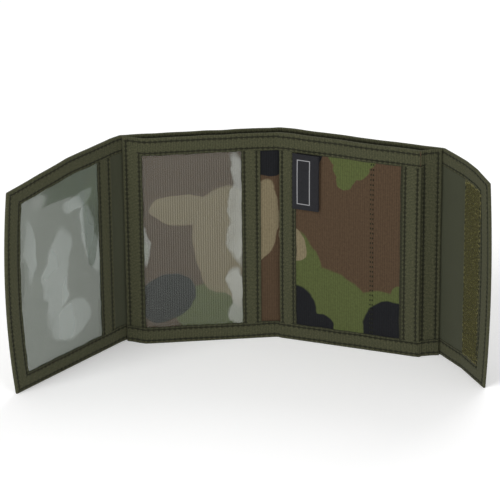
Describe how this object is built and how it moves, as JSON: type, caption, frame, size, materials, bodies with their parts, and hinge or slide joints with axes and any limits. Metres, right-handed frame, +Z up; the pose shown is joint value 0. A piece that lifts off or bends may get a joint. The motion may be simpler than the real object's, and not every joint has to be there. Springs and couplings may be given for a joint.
{
  "type": "trifold wallet",
  "caption": "Printed nylon trifold wallet with clear windows, a card pocket, an open-topped banknote compartment and a hook-and-loop closure flap, standing open.",
  "frame": {"origin": "centre of the card panel's width, on the underside of the binding along its lower edge", "axes": "+X along the card panel towards the right fold, +Y out through the back of the card panel, +Z up"},
  "size_m": [0.2546, 0.1145, 0.13],
  "materials": {
    "print_cloth": "matt woven nylon with a woodland print",
    "lining_cloth": "matt plain nylon",
    "binding_tape": "ribbed nylon binding tape",
    "clear_film": "clear flexible film, glossy",
    "label_cloth": "black woven satin",
    "hook_tape": "olive hook tape",
    "loop_tape": "olive loop tape"
  },
  "bodies": {
    "card_panel": {"shell_card": "print_cloth", "lining_card": "lining_cloth", "binding_shell_card": "binding_tape", "compartment_floor_card": "lining_cloth", "front_wall_card": "print_cloth", "front_wall_end_card": "print_cloth", "binding_wall_top_card": "binding_tape", "binding_wall_bottom_card": "binding_tape", "binding_wall_side_card": "binding_tape", "seam_tape_card": "binding_tape", "card_pocket": "print_cloth", "card_pocket_end": "print_cloth", "card_pocket_binding": "binding_tape", "side_label": "label_cloth"},
    "centre_fold": {"shell_centre": "print_cloth", "lining_centre": "lining_cloth", "binding_shell_centre": "binding_tape", "compartment_floor_centre": "lining_cloth", "front_wall_centre": "print_cloth", "binding_wall_centre": "binding_tape"},
    "window_panel": {"shell_window": "print_cloth", "lining_window": "lining_cloth", "binding_shell_window": "binding_tape", "compartment_floor_window": "lining_cloth", "front_wall_window": "print_cloth", "front_wall_end_window": "print_cloth", "binding_wall_top_window": "binding_tape", "binding_wall_bottom_window": "binding_tape", "binding_wall_side_window": "binding_tape", "window_film": "clear_film", "window_edge_tape": "binding_tape", "loop_strip": "loop_tape"},
    "left_fold": {"shell_left": "print_cloth", "lining_left": "lining_cloth", "binding_left": "binding_tape"},
    "id_flap": {"shell_id": "print_cloth", "lining_id": "lining_cloth", "id_film": "clear_film", "id_edge_tape": "binding_tape", "binding_id_top": "binding_tape", "binding_id_bottom": "binding_tape", "binding_id_outer": "binding_tape"},
    "right_fold": {"shell_right": "print_cloth", "lining_right": "lining_cloth", "binding_right": "binding_tape"},
    "closure_flap": {"shell_closure": "print_cloth", "lining_closure": "lining_cloth", "hook_strip": "hook_tape", "binding_closure_top": "binding_tape", "binding_closure_bottom": "binding_tape", "binding_closure_outer": "binding_tape"}
  },
  "joints": [
    {"name": "centre_crease", "type": "hinge", "parent": "card_panel", "child": "centre_fold", "pos_m": [-0.0466, -0.00605, 0.065], "axis": [0, 0, 1], "range_deg": [-21, 69]},
    {"name": "centre_turn", "type": "hinge", "parent": "centre_fold", "child": "window_panel", "pos_m": [-0.05146, -0.00791, 0.065], "axis": [0, 0, 1], "range_deg": [-1.5, 88.5]},
    {"name": "left_crease", "type": "hinge", "parent": "window_panel", "child": "left_fold", "pos_m": [-0.12969, -0.03436, 0.065], "axis": [0, 0, 1], "range_deg": [-36, 54]},
    {"name": "left_turn", "type": "hinge", "parent": "left_fold", "child": "id_flap", "pos_m": [-0.13345, -0.0405, 0.065], "axis": [0, 0, 1], "range_deg": [-4.5, 85.5]},
    {"name": "right_crease", "type": "hinge", "parent": "card_panel", "child": "right_fold", "pos_m": [0.0466, -0.00055, 0.065], "axis": [0, 0, -1], "range_deg": [-38, 52]},
    {"name": "right_turn", "type": "hinge", "parent": "right_fold", "child": "closure_flap", "pos_m": [0.06197, -0.01256, 0.065], "axis": [0, 0, -1], "range_deg": [-8, 82]}
  ]
}
